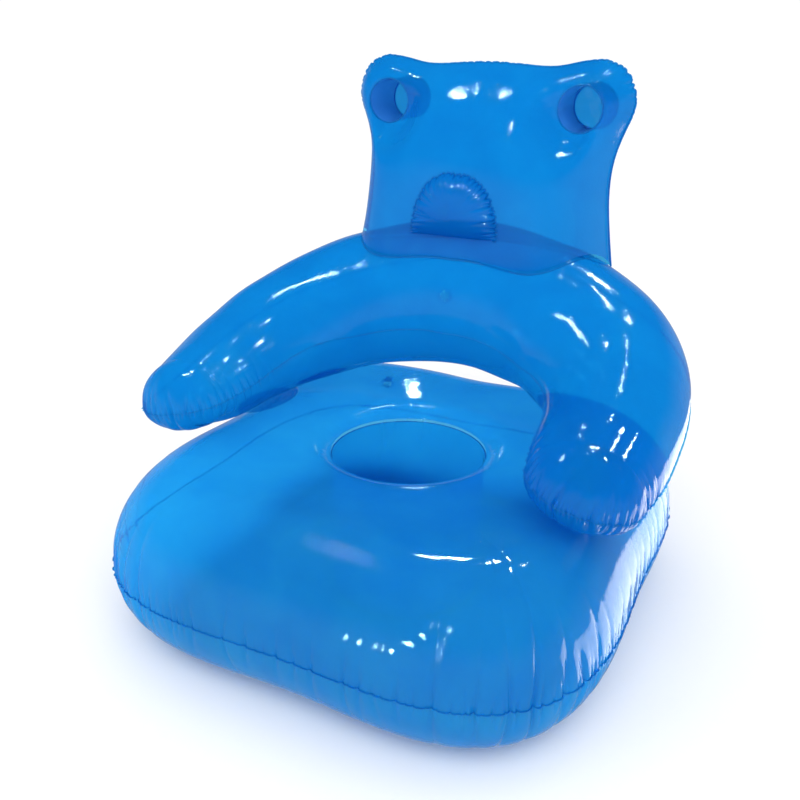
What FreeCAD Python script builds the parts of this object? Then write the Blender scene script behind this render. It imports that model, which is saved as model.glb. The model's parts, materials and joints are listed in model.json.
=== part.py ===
"""Inflatable pool armchair: a seat cushion with a round well, a horseshoe tube that makes both arms
and the lower back, and a padded headrest panel with two cup wells. Everything is thin vinyl film.

Millimetres. +Z is up, the sitter faces -Y, +X is the right-hand side seen from the front.
The origin is on the floor, under the middle of the seat cushion.
"""
import FreeCAD, Part
import math
import os

Vec = FreeCAD.Vector
SAME_WAY = 1                   # a ruled strip's two edges run the same way

# ---- driving dimensions -------------------------------------------------------------------------
FILM = 1.5                     # wall of every skin; the real film is about 0.35
WELD_GAP = 0.6                 # room left between two skins that are welded at their edge

SEAT_HALF_WIDTH = 476.0        # centre to the perimeter weld, sideways
SEAT_HALF_DEPTH = 486.0        # centre to the perimeter weld, front to back
SEAT_SQUARENESS = 3.7          # exponent of the rounded-square outline; 2 would be an ellipse
SEAT_SIDE_PULL = 0.020         # the four sides draw in by this share of their distance
SEAT_WELD_HEIGHT = 138.0       # perimeter weld above the floor
SEAT_TOP = 312.0               # flat crown of the cushion above the floor
SEAT_EDGE = {1: 155.0, -1: 130.0}  # sideways depth of the rounded edge above and under the weld

WELL_Y = -3.0                  # centre of the round well, front to back
WELL_RADIUS = 150.0
WELL_TOP = 283.0               # height of the upper weld ring
WELL_BOTTOM = 8.0              # height of the lower weld ring and of the well's floor
WELL_WAIST = 8.0               # air pressure pushes the wall this far into the well
WELL_SHOULDER = 50.0           # width of the rounded shoulder round the well
WELL_SHOULDER_TURN = 0.96      # 1 would end the shoulder vertical at the weld ring

# Horseshoe tube, right half, from the middle of the back to the arm tip. Each station is
# (x, y, height of the weld plane, half width, rise above the weld, depth under the weld).
RING_STATIONS = (
    (0.0, 297.0, 526.0, 154.0, 154.0, 149.0),
    (140.0, 277.0, 514.0, 153.0, 150.0, 146.0),
    (282.0, 211.0, 477.0, 156.0, 141.0, 134.0),
    (361.0, 94.0, 437.0, 132.0, 122.0, 116.0),
    (382.0, -22.0, 407.0, 115.0, 107.0, 92.0),
    (384.0, -118.0, 389.0, 108.0, 92.0, 71.0),
    (385.0, -173.0, 382.0, 98.0, 80.0, 54.0),
    (385.0, -250.0, 378.0, 12.0, 0.0, 0.0),
)
RING_BACK_SLOPE = 0.30         # the weld plane climbs towards the back
RING_SIDE_SLOPE = 0.20         # and falls outwards along the arms
RING_TIP_TAPER = 0.985         # 1 would bring the weld's two sides together at the very tip

PANEL_Y = 337.0                # plane of the headrest's edge weld
PANEL_CORNER = (273.0, 608.0)  # lower end of that weld (x, z), on the horseshoe tube
# Side of the headrest from the lower corner to the top of the ear, then the top edge to the middle.
PANEL_SIDE = (PANEL_CORNER, (259.0, 700.0), (254.0, 770.0), (261.0, 830.0), (276.0, 875.0),
              (287.0, 910.0), (283.0, 945.0), (260.0, 977.0), (223.0, 991.0))
PANEL_TOP = ((223.0, 991.0), (185.0, 986.0), (140.0, 977.0), (60.0, 979.0), (0.0, 982.0))
PANEL_BULGE = {True: 85.0, False: 70.0}      # how far the front and the rear sheet belly out
PANEL_BULGE_RISE = {True: 1.25, False: 0.75}  # below 1 the belly is fullest low down
PANEL_BULGE_END = {True: 0.95, False: 0.6}   # below 1 the belly is fuller near the edges
PANEL_FOOT = {True: 130.0, False: 18.0}      # degrees round the tube from its outer side to the foot line
PANEL_FOOT_BEND = {True: 6.0, False: 1.6}    # how late the foot line turns towards the corner
PANEL_CORNER_FOOT = 34.0       # degrees round the tube where both foot lines end
PANEL_PILLOW = (2.2, 0.6)      # exponents of the belly from the middle to the side edges
CUP_HOLD_EDGE = 4.5            # the wells' hold on the sheets fades towards the side edges
CUP_HOLD_TOP = 5.0             # and towards the top edge
PANEL_FOOT_GAP = 7.0           # free height that lets the headrest lean without rubbing the tube

CUP_X = 198.0
CUP_Z = 906.0
CUP_RADIUS = 43.5
CUP_FRONT = 288.0              # y of the front mouth
CUP_BACK = 396.0               # y of the rear end, which a film disc closes
CUP_DIMPLE = 36.0              # the wells hold the two sheets together this far round their rims

PAD_HALF_WIDTH = 90.0
PAD_FOOT = 668.0               # height of the pad's straight lower edge
PAD_TOP = 790.0
PAD_THICKNESS = 26.0

PATCH_X = 352.0                # weld patches that hold the arms down on the seat
PATCH_Y = 37.0
PATCH_HALF_WIDTH = 53.0
PATCH_HALF_LENGTH = 85.0
PATCH_THICKNESS = 3.0
PATCH_HEIGHT = 311.5
PATCH_TILT = 6.0               # degrees; the patch follows the shoulder of the seat

VALVE_BORE = 4.6
VALVE_STEM_RADIUS = 6.5
VALVE_CLEARANCE = 0.3
VALVE_FLANGE_RADIUS = 17.0
VALVE_FLANGE_THICKNESS = 1.0
VALVE_STAND_OFF = 0.9          # the flat flange clears the curved film
VALVE_LIP_HEIGHT = 14.0        # underside of the stem's lip above the film
VALVE_LIP_RADIUS = 8.3
VALVE_LIP_THICKNESS = 1.6
VALVE_INSIDE = 10.0            # length of stem behind the film
CAP_RADIUS = 8.6
CAP_THICKNESS = 2.4
PLUG_LENGTH = 6.0
PLUG_CLEARANCE = 0.3
CAP_TAB = (5.0, 5.0, 1.2)      # thumb tab: length, width, thickness
CAP_TAB_ROOT = 1.0             # part of its length that lies in the cap's head
FLAP_RADIUS = 6.0
FLAP_THICKNESS = 0.8
FLAP_TAB = 2.0                 # length of the flap's hinge tab, half of it past the disc
FLAP_TAB_WIDTH = 3.0
STRAP_WIDTH = 4.0
STRAP_REACH = 4.0              # how far the strap's bend stands out past the cap
STRAP_THICKNESS = 1.0


# ---- small helpers ------------------------------------------------------------------------------
def clamp(value, low=0.0, high=1.0):
    return max(low, min(high, value))


def save(shape, name):
    """Write one closed solid, or a group of them, and report its volume."""
    if not shape.isValid():
        print("INVALID", name)
    print("%-28s %9.1f cm3  solids %d" % (name, shape.Volume / 1000.0, len(shape.Solids)))
    shape.exportStep(os.path.join("parts", name + ".step"))


def surface_through(grid):
    surface = Part.BSplineSurface()
    surface.interpolate(grid)
    return surface


def smooth_curve(points):
    """Smooth curve through a few (x, z) points, as a function of the share of its length."""
    curve = Part.BSplineCurve()
    curve.interpolate([Vec(x, 0.0, z) for x, z in points])
    length = curve.length()
    return lambda share: curve.value(curve.parameterAtDistance(length * share))


def dense_at_ends(count):
    """Numbers from 0 to 1, closer together towards 1, where a pillow turns down to its weld."""
    return [math.sin(math.pi / 2.0 * i / count) for i in range(count + 1)]


def solid_from(faces):
    shell = Part.makeShell(faces)
    shell.sewShape()
    solid = Part.makeSolid(Part.Shell(shell.Faces))
    if solid.Volume < 0:
        solid.reverse()
    return solid


def mirrored(shape):
    return shape.mirror(Vec(0, 0, 0), Vec(1, 0, 0))


# ---- seat cushion -------------------------------------------------------------------------------
def seat_outline(angle, inset):
    """Distance from the well's axis to the perimeter weld in one direction."""
    across = abs(math.cos(angle) / (SEAT_HALF_WIDTH - inset)) ** SEAT_SQUARENESS
    along = abs(math.sin(angle) / (SEAT_HALF_DEPTH - inset)) ** SEAT_SQUARENESS
    return (across + along) ** (-1.0 / SEAT_SQUARENESS) * (1.0 - SEAT_SIDE_PULL * math.cos(2 * angle) ** 4)


def seat_place(angle, distance, outline, height):
    """Point at a distance from the well's axis; the well is a little off the middle of the cushion."""
    towards_well = clamp((outline - distance) / (outline - WELL_RADIUS))
    return Vec(distance * math.cos(angle), distance * math.sin(angle) + WELL_Y * towards_well, height)


def seat_flat_height(side, inset):
    return SEAT_TOP - inset if side > 0 else inset


def seat_edge_point(angle, share, side, inset):
    """Point on the rounded edge, from the perimeter weld at 0 to the flat crown or sole at 1."""
    outline = seat_outline(angle, inset)
    rim = SEAT_WELD_HEIGHT + side * WELD_GAP / 2.0
    turn = math.pi / 2.0 * share
    distance = outline - (SEAT_EDGE[side] - inset) * (1.0 - math.cos(turn))
    height = rim + (seat_flat_height(side, inset) - rim) * math.sin(turn)
    return seat_place(angle, distance, outline, height)


def seat_shoulder_point(angle, share, side, inset):
    """Point on the rounded shoulder, from the flat at 0 to the well's weld ring at 1."""
    distance = WELL_RADIUS + WELL_SHOULDER * (1.0 - share)
    drop = SEAT_TOP - WELL_TOP if side > 0 else WELL_BOTTOM
    fall = drop * (1.0 - math.sqrt(1.0 - WELL_SHOULDER_TURN * share ** 2))
    height = seat_flat_height(side, inset) - side * fall
    return seat_place(angle, distance, seat_outline(angle, inset), height)


def seat_half_sheet(side, inset):
    """Right half of one face of a skin: its surfaces, then its free edges at the perimeter and the well."""
    angles = [math.radians(-90.0 + 180.0 * i / 32.0) for i in range(33)]
    edge_steps = [0.0, 0.06, 0.16, 0.30, 0.46, 0.64, 0.82, 1.0]
    shoulder_steps = [0.0, 0.25, 0.5, 0.7, 0.85, 0.95, 1.0]
    edge = surface_through([[seat_edge_point(a, t, side, inset) for t in edge_steps] for a in angles])
    shoulder = surface_through([[seat_shoulder_point(a, t, side, inset) for t in shoulder_steps]
                                for a in angles])
    outside, inside = edge.vIso(edge.bounds()[3]), shoulder.vIso(shoulder.bounds()[2])
    ends = [(outside.value(outside.FirstParameter), inside.value(inside.FirstParameter)),
            (outside.value(outside.LastParameter), inside.value(inside.LastParameter))]
    border = [outside.toShape(), inside.toShape()] + [Part.LineSegment(*pair).toShape() for pair in ends]
    flat = Part.Face(Part.Wire(Part.__sortEdges__(border)))
    faces = [edge.toShape(), flat, shoulder.toShape()]
    return faces, edge.vIso(edge.bounds()[2]), shoulder.vIso(shoulder.bounds()[3])


def seat_skin(side):
    """One sheet of the cushion: rounded edge, flat crown or sole, and the shoulder round the well."""
    outer, outer_rim, outer_well = seat_half_sheet(side, 0.0)
    inner, inner_rim, inner_well = seat_half_sheet(side, FILM)
    strips = [Part.makeRuledSurface(outer_rim.toShape(), inner_rim.toShape(), SAME_WAY),
              Part.makeRuledSurface(outer_well.toShape(), inner_well.toShape(), SAME_WAY)]
    faces = outer + inner + strips
    return solid_from(faces + [mirrored(face) for face in faces])


def skin_from(outer, inner, mirror):
    """Join an outer and an inner sheet along their free edges into a thin solid."""
    low_u, high_u, low_v, high_v = outer.bounds()
    strips = [Part.makeRuledSurface(outer.vIso(v).toShape(), inner.vIso(v).toShape(), SAME_WAY)
              for v in (low_v, high_v)]
    strips += [Part.makeRuledSurface(outer.uIso(u).toShape(), inner.uIso(u).toShape(), SAME_WAY)
               for u in ((high_u,) if mirror else (low_u, high_u))]
    faces = [outer.toShape(), inner.toShape()] + strips
    if mirror:
        faces += [mirrored(face) for face in faces]
    return solid_from(faces)


def seat_well_wall():
    """Waisted tube between the two weld rings."""
    def side_of(radius):
        low = Vec(radius, 0, WELL_BOTTOM)
        middle = Vec(radius - WELL_WAIST, 0, (WELL_BOTTOM + WELL_TOP) / 2.0)
        return low, middle, Vec(radius, 0, WELL_TOP)
    outside = side_of(WELL_RADIUS - WELD_GAP)
    inside = side_of(WELL_RADIUS - WELD_GAP - FILM)
    profile = Part.Wire([Part.Arc(*outside).toShape(),
                         Part.LineSegment(outside[2], inside[2]).toShape(),
                         Part.Arc(*inside[::-1]).toShape(),
                         Part.LineSegment(inside[0], outside[0]).toShape()])
    wall = Part.Face(profile).revolve(Vec(0, 0, 0), Vec(0, 0, 1), 360)
    wall.translate(Vec(0, WELL_Y, 0))
    return wall


def seat_well_floor():
    return Part.makeCylinder(WELL_RADIUS - 4 * WELD_GAP - FILM, FILM, Vec(0, WELL_Y, WELL_BOTTOM))


# ---- horseshoe tube -----------------------------------------------------------------------------
def natural_spline(positions, values):
    """Smooth interpolation through the stations; returns a function of the distance."""
    n = len(positions)
    steps = [positions[i + 1] - positions[i] for i in range(n - 1)]
    slopes = [(values[i + 1] - values[i]) / steps[i] for i in range(n - 1)]
    diagonal = [1.0] + [2.0 * (steps[i - 1] + steps[i]) for i in range(1, n - 1)] + [1.0]
    right = [0.0] + [6.0 * (slopes[i] - slopes[i - 1]) for i in range(1, n - 1)] + [0.0]
    lower = [0.0] + steps[:-1] + [0.0]
    upper = [0.0] + steps[1:]
    for i in range(1, n):
        factor = lower[i] / diagonal[i - 1]
        diagonal[i] -= factor * upper[i - 1]
        right[i] -= factor * right[i - 1]
    bend = [0.0] * n
    bend[-1] = right[-1] / diagonal[-1]
    for i in range(n - 2, -1, -1):
        bend[i] = (right[i] - upper[i] * bend[i + 1]) / diagonal[i]

    def value(at):
        i = 0
        while i < n - 2 and at > positions[i + 1]:
            i += 1
        span = steps[i]
        b = (at - positions[i]) / span
        a = 1.0 - b
        curve = ((a ** 3 - a) * bend[i] + (b ** 3 - b) * bend[i + 1]) * span ** 2 / 6.0
        return a * values[i] + b * values[i + 1] + curve
    return value


def ring_laws():
    """Position and half sizes of the tube as functions of the distance from the back's middle."""
    stations = [(-s[0],) + s[1:] for s in RING_STATIONS[:0:-1]] + list(RING_STATIONS)
    distances = [0.0]
    for a, b in zip(stations, stations[1:]):
        distances.append(distances[-1] + math.dist(a[:3], b[:3]))
    half = distances[-1] / 2.0
    distances = [d - half for d in distances]
    path = [natural_spline(distances, [s[k] for s in stations]) for k in range(3)]
    sizes = [natural_spline(distances[1:-1], [s[k] for s in stations[1:-1]]) for k in range(3, 6)]
    return path, sizes, distances[-2], distances[-1]


RING_PATH, RING_SIZES, RING_CAP_START, RING_LENGTH = ring_laws()


def ring_point(distance, turn, inset):
    """Point on the tube. turn is in degrees from the outer weld over the crown."""
    step = 2.0
    here = [law(distance) for law in RING_PATH]
    ahead = [law(distance + step) for law in RING_PATH[:2]]
    behind = [law(distance - step) for law in RING_PATH[:2]]
    tangent = Vec(ahead[0] - behind[0], ahead[1] - behind[1], 0.0).normalize()
    out = Vec(-tangent.y, tangent.x, 0.0)
    slope = RING_BACK_SLOPE * out.y - RING_SIDE_SLOPE * abs(out.x)
    across = Vec(out.x, out.y, slope).normalize()
    up = Vec(-out.x * slope, -out.y * slope, 1.0).normalize()
    width, rise, depth = [law(min(distance, RING_CAP_START)) - inset for law in RING_SIZES]
    cap_length = RING_LENGTH - RING_CAP_START - inset
    cap = clamp((distance - RING_CAP_START) / cap_length)
    swell = math.sqrt(1.0 - cap ** 2)
    width *= math.sqrt(1.0 - cap ** 2 * RING_TIP_TAPER)
    angle = math.radians(turn)
    lift = rise if math.sin(angle) >= 0.0 else depth
    return (Vec(*here) + across * (width * math.cos(angle)) + up * (lift * swell * math.sin(angle)))


def ring_skin(side):
    fractions = [math.sin(math.pi / 2.0 * i / 26.0) for i in range(27)]
    turns = [0.0, 8.0, 20.0, 38.0, 56.0, 74.0, 90.0, 106.0, 124.0, 142.0, 160.0, 172.0, 180.0]

    def sheet(inset):
        length = RING_LENGTH - inset
        lift = Vec(0, 0, side * WELD_GAP / 2.0)
        return surface_through([[ring_point(length * f, side * turn, inset) + lift for turn in turns]
                                for f in fractions])
    return skin_from(sheet(0.0), sheet(FILM), mirror=True)


# ---- headrest panel -----------------------------------------------------------------------------
def foot_line(share, front, gap):
    """Where the headrest's skin meets the tube; share runs from the middle at 0 to the corner at 1."""
    start = PANEL_FOOT[front]
    turn = start + (PANEL_CORNER_FOOT - start) * share ** PANEL_FOOT_BEND[front]
    low, high = -1.0, RING_CAP_START
    for _ in range(40):
        middle = (low + high) / 2.0
        if ring_point(middle, turn, -gap).x < PANEL_CORNER[0] * share:
            low = middle
        else:
            high = middle
    return ring_point(low, turn, -gap)


PANEL_SIDE_AT = smooth_curve(PANEL_SIDE)
PANEL_TOP_AT = smooth_curve(PANEL_TOP)


def panel_point(across, v, front, inset):
    """Point on a headrest sheet: across from -1 to 1, v from the foot line at 0 to the top edge at 1."""
    u = abs(across)
    direction = -1.0 if front else 1.0
    foot, foot_corner = foot_line(u, front, PANEL_FOOT_GAP), foot_line(1.0, front, PANEL_FOOT_GAP)
    foot_middle = foot_line(0.0, front, PANEL_FOOT_GAP)
    edge = PANEL_SIDE_AT(v)
    top, top_corner, top_middle = PANEL_TOP_AT(1.0 - u), PANEL_TOP_AT(0.0), PANEL_TOP_AT(1.0)
    x = (1 - v) * foot.x + v * top.x + u * edge.x - u * ((1 - v) * foot_corner.x + v * top_corner.x)
    middle_z = (1 - v) * foot_middle.z + v * top_middle.z
    z = (1 - v) * foot.z + v * top.z + (1 - u) * middle_z + u * edge.z
    z -= (1 - u) * middle_z + u * ((1 - v) * foot_corner.z + v * top_corner.z)
    swell = 0.0
    if 0.0 < v < 1.0:
        rise = math.sin(math.pi * v ** PANEL_BULGE_RISE[front]) ** PANEL_BULGE_END[front]
        swell = clamp(1.0 - u ** PANEL_PILLOW[0]) ** PANEL_PILLOW[1] * rise
    seam_y = PANEL_Y + direction * WELD_GAP / 2.0
    y = seam_y + (foot.y - seam_y) * (1.0 - v) ** 1.2 + direction * PANEL_BULGE[front] * swell
    middle_height = (PANEL_CORNER[1] + top_corner.z) / 2.0
    past_rim = max(0.0, math.hypot(x - CUP_X, z - CUP_Z) - CUP_RADIUS)
    held = math.exp(-(past_rim / CUP_DIMPLE) ** 2)
    held *= clamp(CUP_HOLD_EDGE * (1.0 - u)) * clamp(CUP_HOLD_TOP * (1.0 - v))
    y += held * ((CUP_FRONT if front else CUP_BACK) - y)
    shrink = 1.0 - inset / PANEL_CORNER[0]
    thin = inset * max(min(1.0, 2.0 * swell), (1.0 - v) * (1.0 - u))
    return Vec(math.copysign(x, across) * shrink, y - direction * thin,
               middle_height + (z - middle_height) * shrink)


def panel_sheet(front, inset):
    right = dense_at_ends(14)
    return surface_through([[panel_point(u, v, front, inset) for u in [-r for r in right[:0:-1]] + right]
                            for v in dense_at_ends(20)])


def panel_skin(front):
    skin = skin_from(panel_sheet(front, 0.0), panel_sheet(front, FILM), mirror=False)
    for hand in (-1, 1):
        skin = skin.cut(cup_core(hand, CUP_RADIUS + WELD_GAP))
    return skin


def cup_core(hand, radius):
    """Cylinder along a cup well, long enough to pass through both sheets."""
    return Part.makeCylinder(radius, 2 * PANEL_CORNER[0], Vec(hand * CUP_X, PANEL_Y - PANEL_CORNER[0], CUP_Z),
                             Vec(0, 1, 0))


def cup_wall(hand):
    mouth = Vec(hand * CUP_X, CUP_FRONT, CUP_Z)
    length = CUP_BACK - CUP_FRONT
    outside = Part.makeCylinder(CUP_RADIUS, length, mouth, Vec(0, 1, 0))
    return outside.cut(Part.makeCylinder(CUP_RADIUS - FILM, length, mouth, Vec(0, 1, 0)))


def cup_floor(hand):
    centre = Vec(hand * CUP_X, CUP_BACK - 2 * FILM, CUP_Z)
    return Part.makeCylinder(CUP_RADIUS - FILM - WELD_GAP / 2.0, FILM, centre, Vec(0, 1, 0))


def neck_pad():
    """Half-round pad that lies on the front sheet: a low dome with a straight lower edge."""
    front_sheet = panel_sheet(True, 0.0)

    def on_sheet(x, z):
        point = Vec(x, PANEL_Y - PANEL_BULGE[True], z)
        for _ in range(12):
            touch = front_sheet.value(*front_sheet.parameter(point))
            point = Vec(x, touch.y, z)
        return point

    def sheet(dome):
        grid = []
        for t in [1.0 - d for d in dense_at_ends(10)[::-1]][:-1] + [1.0]:
            row = []
            for i in range(-8, 9):
                s = math.sin(math.pi / 2.0 * i / 8.0)
                x = PAD_HALF_WIDTH * s * math.sqrt(1.0 - t * t / 2.0)
                z = PAD_FOOT + (PAD_TOP - PAD_FOOT) * t * math.sqrt(1.0 - s * s / 2.0)
                rise = math.sqrt(clamp((1.0 - s ** 4) * (1.0 - (2.0 * t - 1.0) ** 4)))
                stand = FILM + WELD_GAP + PAD_THICKNESS * rise if dome else WELD_GAP
                row.append(on_sheet(x, z) + Vec(0, -stand, 0))
            grid.append(row)
        return surface_through(grid)
    return skin_from(sheet(True), sheet(False), mirror=False)


def arm_patch(hand):
    """Reinforcing disc where an arm is welded to the seat."""
    disc = Part.Face(Part.Wire(Part.Ellipse(Vec(0, 0, 0), PATCH_HALF_LENGTH, PATCH_HALF_WIDTH).toShape()))
    patch = disc.extrude(Vec(0, 0, PATCH_THICKNESS))
    patch.rotate(Vec(0, 0, 0), Vec(0, 0, 1), 90)
    patch.rotate(Vec(0, 0, 0), Vec(0, 1, 0), hand * PATCH_TILT)
    patch.translate(Vec(hand * PATCH_X, PATCH_Y, PATCH_HEIGHT))
    return patch


# ---- valves -------------------------------------------------------------------------------------
def frame_at(point_law, a, b, step_a, step_b, outside):
    """Placement on a skin: z along the outward normal. outside is a point the normal looks towards."""
    here = point_law(a, b)
    along_a = point_law(a + step_a, b) - here
    along_b = point_law(a, b + step_b) - here
    normal = along_a.cross(along_b).normalize()
    if normal.dot(outside - here) < 0:
        normal = -normal
    return FreeCAD.Placement(here + normal * VALVE_STAND_OFF, FreeCAD.Rotation(Vec(0, 0, 1), normal))


VALVES = {
    "seat": frame_at(lambda a, t: seat_edge_point(a, t, 1, 0.0), math.radians(122.0), 0.26, 0.01, 0.01,
                     Vec(0, 900, 900)),
    "arm": frame_at(lambda d, turn: ring_point(d, turn, 0.0), -95.0, -34.0, 2.0, 2.0, Vec(0, 1500, 300)),
    "headrest": frame_at(lambda u, v: panel_point(u, v, False, 0.0), -0.50, 0.13, 0.01, 0.01,
                         Vec(0, 1500, 700)),
}


def tube(outer, inner, low, high):
    return Part.makeCylinder(outer, high - low, Vec(0, 0, low)).cut(
        Part.makeCylinder(inner, high - low, Vec(0, 0, low)))


def valve_hole(name):
    hole = Part.makeCylinder(VALVE_STEM_RADIUS + 2 * VALVE_CLEARANCE, 60.0, Vec(0, 0, -30.0))
    hole.Placement = VALVES[name]
    return hole


def valve_flange():
    return tube(VALVE_FLANGE_RADIUS, VALVE_STEM_RADIUS + VALVE_CLEARANCE, 0.0, VALVE_FLANGE_THICKNESS)


def valve_stem():
    body = tube(VALVE_STEM_RADIUS, VALVE_BORE, -VALVE_INSIDE, VALVE_LIP_HEIGHT)
    lip = tube(VALVE_LIP_RADIUS, VALVE_BORE, VALVE_LIP_HEIGHT, VALVE_LIP_HEIGHT + VALVE_LIP_THICKNESS)
    return body.fuse(lip).removeSplitter()


def valve_flap():
    """Soft disc under the stem's inner end, with a tab at its hinge."""
    top = -VALVE_INSIDE - VALVE_CLEARANCE
    disc = Part.makeCylinder(FLAP_RADIUS, FLAP_THICKNESS, Vec(0, 0, top - FLAP_THICKNESS))
    corner = Vec(FLAP_RADIUS - FLAP_TAB / 2.0, -FLAP_TAB_WIDTH / 2.0, top - FLAP_THICKNESS)
    tab = Part.makeBox(FLAP_TAB, FLAP_TAB_WIDTH, FLAP_THICKNESS, corner)
    return disc.fuse(tab).removeSplitter()


def flap_hinge():
    """Far edge of the tab, about which the flap swings down."""
    return Vec(FLAP_RADIUS + FLAP_TAB / 2.0, 0, -VALVE_INSIDE - VALVE_CLEARANCE)


def valve_cap():
    """Plug with a flat head and a thumb tab."""
    seat = VALVE_LIP_HEIGHT + VALVE_LIP_THICKNESS + VALVE_CLEARANCE
    head = Part.makeCylinder(CAP_RADIUS, CAP_THICKNESS, Vec(0, 0, seat))
    plug = Part.makeCylinder(VALVE_BORE - PLUG_CLEARANCE, PLUG_LENGTH, Vec(0, 0, seat - PLUG_LENGTH))
    corner = Vec(CAP_RADIUS - CAP_TAB_ROOT, -CAP_TAB[1] / 2.0, seat + CAP_THICKNESS - CAP_TAB[2])
    tab = Part.makeBox(*CAP_TAB, corner)
    return head.fuse([plug, tab]).removeSplitter()


def valve_strap():
    """Short strap that joins the cap's head to the stem's lip on the side away from the tab."""
    near, far = CAP_RADIUS + VALVE_CLEARANCE, CAP_RADIUS + STRAP_REACH
    low = VALVE_LIP_HEIGHT + VALVE_CLEARANCE
    high = VALVE_LIP_HEIGHT + VALVE_LIP_THICKNESS + CAP_THICKNESS
    outer = Part.makeBox(far - near, STRAP_WIDTH, high - low, Vec(-far, -STRAP_WIDTH / 2.0, low))
    slot = Part.makeBox(far - near - STRAP_THICKNESS, STRAP_WIDTH, high - low - 2 * STRAP_THICKNESS,
                        Vec(-far + STRAP_THICKNESS, -STRAP_WIDTH / 2.0, low + STRAP_THICKNESS))
    return outer.cut(slot)


if __name__ == "__main__":
    os.makedirs("parts", exist_ok=True)
    save(seat_skin(1).cut(valve_hole("seat")), "seat_top_skin")
    save(seat_skin(-1), "seat_bottom_skin")
    save(seat_well_wall(), "seat_well_wall")
    save(seat_well_floor(), "seat_well_floor")
    save(ring_skin(1), "arm_ring_upper_skin")
    save(ring_skin(-1).cut(valve_hole("arm")), "arm_ring_lower_skin")
    save(panel_skin(True), "headrest_front_skin")
    save(panel_skin(False).cut(valve_hole("headrest")), "headrest_rear_skin")
    save(neck_pad(), "neck_pad")
    for hand, side in ((-1, "left"), (1, "right")):
        save(arm_patch(hand), side + "_arm_weld_patch")
        save(cup_wall(hand), side + "_cup_wall")
        save(cup_floor(hand), side + "_cup_floor")
    pieces = (("flange", valve_flange), ("stem", valve_stem), ("check_flap", valve_flap),
              ("cap", valve_cap), ("cap_strap", valve_strap))
    for name, placement in VALVES.items():
        for piece, build in pieces:
            shape = build()
            shape.Placement = placement
            save(shape, name + "_valve_" + piece)
        print(name, "valve at", placement.Base, "axis", placement.Rotation.multVec(Vec(0, 0, 1)),
              "flap hinge", placement.multVec(flap_hinge()),
              "flap axis", placement.Rotation.multVec(Vec(0, 1, 0)))
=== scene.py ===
import json
import math
import random

import bmesh
import bpy
import numpy as np
from mathutils import Matrix, Vector
from mathutils.bvhtree import BVHTree
from mathutils.kdtree import KDTree


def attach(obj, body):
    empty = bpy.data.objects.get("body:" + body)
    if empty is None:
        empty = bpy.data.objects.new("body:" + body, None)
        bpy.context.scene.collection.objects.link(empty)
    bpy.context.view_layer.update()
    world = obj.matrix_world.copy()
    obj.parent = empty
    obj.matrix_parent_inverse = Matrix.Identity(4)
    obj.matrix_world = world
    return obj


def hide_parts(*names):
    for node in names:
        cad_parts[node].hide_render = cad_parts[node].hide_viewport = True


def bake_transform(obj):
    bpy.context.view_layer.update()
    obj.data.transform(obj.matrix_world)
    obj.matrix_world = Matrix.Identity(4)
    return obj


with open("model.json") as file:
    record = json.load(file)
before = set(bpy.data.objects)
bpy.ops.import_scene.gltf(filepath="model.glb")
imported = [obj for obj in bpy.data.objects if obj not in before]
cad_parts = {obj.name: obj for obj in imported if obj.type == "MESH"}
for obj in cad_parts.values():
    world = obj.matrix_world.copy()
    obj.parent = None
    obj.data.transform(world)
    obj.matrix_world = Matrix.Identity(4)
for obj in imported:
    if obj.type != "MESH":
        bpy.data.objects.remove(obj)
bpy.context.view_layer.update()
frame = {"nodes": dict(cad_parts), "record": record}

# Inflatable pool armchair in clear blue vinyl film. Metres, +Z up, the sitter faces -Y.
# Every film is one sheet; two sheets meet in a weld band, and creases run across the welds.
# Sizes are metres and shares of 1, and turns of a tube's section are degrees.

# ---- sizes, the same as the CAD model's ---------------------------------------------------------
SEAT_HALF_WIDTH, SEAT_HALF_DEPTH = 0.476, 0.486
SEAT_SQUARENESS, SEAT_SIDE_PULL = 3.7, 0.020
SEAT_WELD_HEIGHT, SEAT_TOP = 0.138, 0.312
SEAT_EDGE = {1: 0.155, -1: 0.130}
WELL_Y, WELL_RADIUS, WELL_TOP, WELL_BOTTOM = -0.003, 0.150, 0.283, 0.008
WELL_WAIST, WELL_SHOULDER = 0.008, 0.050
WELL_SHOULDER_TURN = 0.96          # how nearly the shoulder turns upright at the well's rim

RING_STATIONS = (
    (0.0, 0.297, 0.526, 0.154, 0.154, 0.149),
    (0.140, 0.277, 0.514, 0.153, 0.150, 0.146),
    (0.282, 0.211, 0.477, 0.156, 0.141, 0.134),
    (0.361, 0.094, 0.437, 0.132, 0.122, 0.116),
    (0.382, -0.022, 0.407, 0.115, 0.107, 0.092),
    (0.384, -0.118, 0.389, 0.108, 0.092, 0.071),
    (0.385, -0.173, 0.382, 0.098, 0.080, 0.054),
    (0.385, -0.250, 0.378, 0.012, 0.0, 0.0),
)
RING_BACK_SLOPE, RING_SIDE_SLOPE = 0.30, 0.20
RING_TIP_TAPER = 0.985             # how nearly the tube's width closes at its tips

PANEL_Y = 0.337
PANEL_CORNER = (0.273, 0.608)
PANEL_SIDE = (PANEL_CORNER, (0.259, 0.700), (0.254, 0.770), (0.261, 0.830), (0.276, 0.875),
              (0.287, 0.910), (0.283, 0.945), (0.260, 0.977), (0.223, 0.991))
PANEL_TOP = ((0.223, 0.991), (0.185, 0.986), (0.140, 0.977), (0.060, 0.979), (0.0, 0.982))
PANEL_BULGE = {True: 0.085, False: 0.070}
PANEL_BULGE_RISE = {True: 1.25, False: 0.75}
PANEL_BULGE_END = {True: 0.95, False: 0.6}
PANEL_FOOT = {True: 123.0, False: 18.0}
PANEL_FOOT_BEND = {True: 5.0, False: 1.6}
PANEL_CORNER_FOOT = 34.0
PANEL_PILLOW = (2.2, 0.6)          # how the bulge falls off towards the sides

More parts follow.
